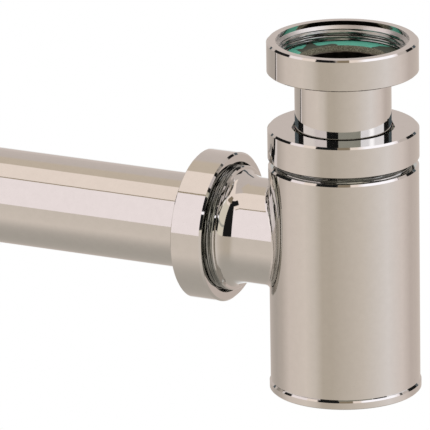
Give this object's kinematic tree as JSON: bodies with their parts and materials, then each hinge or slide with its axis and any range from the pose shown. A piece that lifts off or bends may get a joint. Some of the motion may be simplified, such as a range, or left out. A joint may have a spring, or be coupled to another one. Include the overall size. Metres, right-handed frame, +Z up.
{
  "type": "space-saving bottle trap",
  "caption": "Compact round bottle trap for a wash basin, with a height-adjustable inlet tube, a side outlet tube, round nuts and a screwed base cap for cleaning.",
  "frame": {"origin": "on the bottle's axis, on the top face of the basin gasket, inside the basin nut's thread", "axes": "+Z up along the inlet tube and out of the basin nut's mouth; the outlet tube runs along -X; +Y completes the right-handed frame"},
  "size_m": [0.2404, 0.0506, 0.1201],
  "materials": {
    "nickel": "polished warm nickel plate on brass",
    "gasket_fibre": "matt compressed fibre with dark grey fields",
    "nylon": "satin natural nylon",
    "seal_rubber": "matt moulded rubber"
  },
  "bodies": {
    "bottle": {"bottle_shell": "nickel", "neck_ring": "nickel", "outlet_branch": "nickel", "branch_braze_fillet": "nickel", "base_ring": "nickel", "outlet_cone_seal": "seal_rubber"},
    "swivel_seal": {"cap_cone_seal": "seal_rubber"},
    "inlet": {"inlet_tube": "nickel", "basin_gasket": "gasket_fibre"},
    "basin_nut": {"basin_nut": "nickel"},
    "cap_ring": {"cap_slip_ring": "nylon"},
    "cap": {"trap_cap": "nickel"},
    "outlet_ring": {"outlet_slip_ring": "nylon"},
    "outlet_nut": {"outlet_nut": "nickel"},
    "outlet_tube": {"outlet_tube": "nickel"},
    "base_seal": {"base_o_ring": "seal_rubber"},
    "base_cap": {"base_cap": "nickel"}
  },
  "joints": [
    {"name": "bottle_swivel", "type": "hinge", "parent": "bottle", "child": "swivel_seal", "pos_m": [0, 0, 0], "axis": [0, 0, 1], "continuous": true},
    {"name": "inlet_height", "type": "slide", "parent": "swivel_seal", "child": "inlet", "axis": [0, 0, 1], "range_m": [-0.011, 0.012]},
    {"name": "basin_nut_spin", "type": "hinge", "parent": "inlet", "child": "basin_nut", "pos_m": [0, 0, 0], "axis": [0, 0, 1], "continuous": true},
    {"name": "cap_rise", "type": "slide", "parent": "bottle", "child": "cap_ring", "axis": [0, 0, 1], "range_m": [0, 0.0075]},
    {"name": "cap_spin", "type": "hinge", "parent": "cap_ring", "child": "cap", "pos_m": [0, 0, -0.02845], "axis": [0, 0, 1], "range_deg": [0, 1800]},
    {"name": "outlet_nut_travel", "type": "slide", "parent": "bottle", "child": "outlet_ring", "axis": [-1, 0, 0], "range_m": [0, 0.006]},
    {"name": "outlet_nut_spin", "type": "hinge", "parent": "outlet_ring", "child": "outlet_nut", "pos_m": [-0.0465, 0, -0.06345], "axis": [-1, 0, 0], "range_deg": [0, 1440]},
    {"name": "outlet_depth", "type": "slide", "parent": "bottle", "child": "outlet_tube", "axis": [-1, 0, 0], "range_m": [-0.005, 0.008]},
    {"name": "base_cap_drop", "type": "slide", "parent": "bottle", "child": "base_seal", "axis": [0, 0, -1], "range_m": [0, 0.006]},
    {"name": "base_cap_spin", "type": "hinge", "parent": "base_seal", "child": "base_cap", "pos_m": [0, 0, -0.11355], "axis": [0, 0, -1], "range_deg": [0, 1440]}
  ],
  "couplings": [
    {"joint": "cap_rise", "follows": "cap_spin", "m_per_rad": 0.00023873},
    {"joint": "outlet_nut_travel", "follows": "outlet_nut_spin", "m_per_rad": 0.00023873},
    {"joint": "base_cap_drop", "follows": "base_cap_spin", "m_per_rad": 0.00023873}
  ]
}
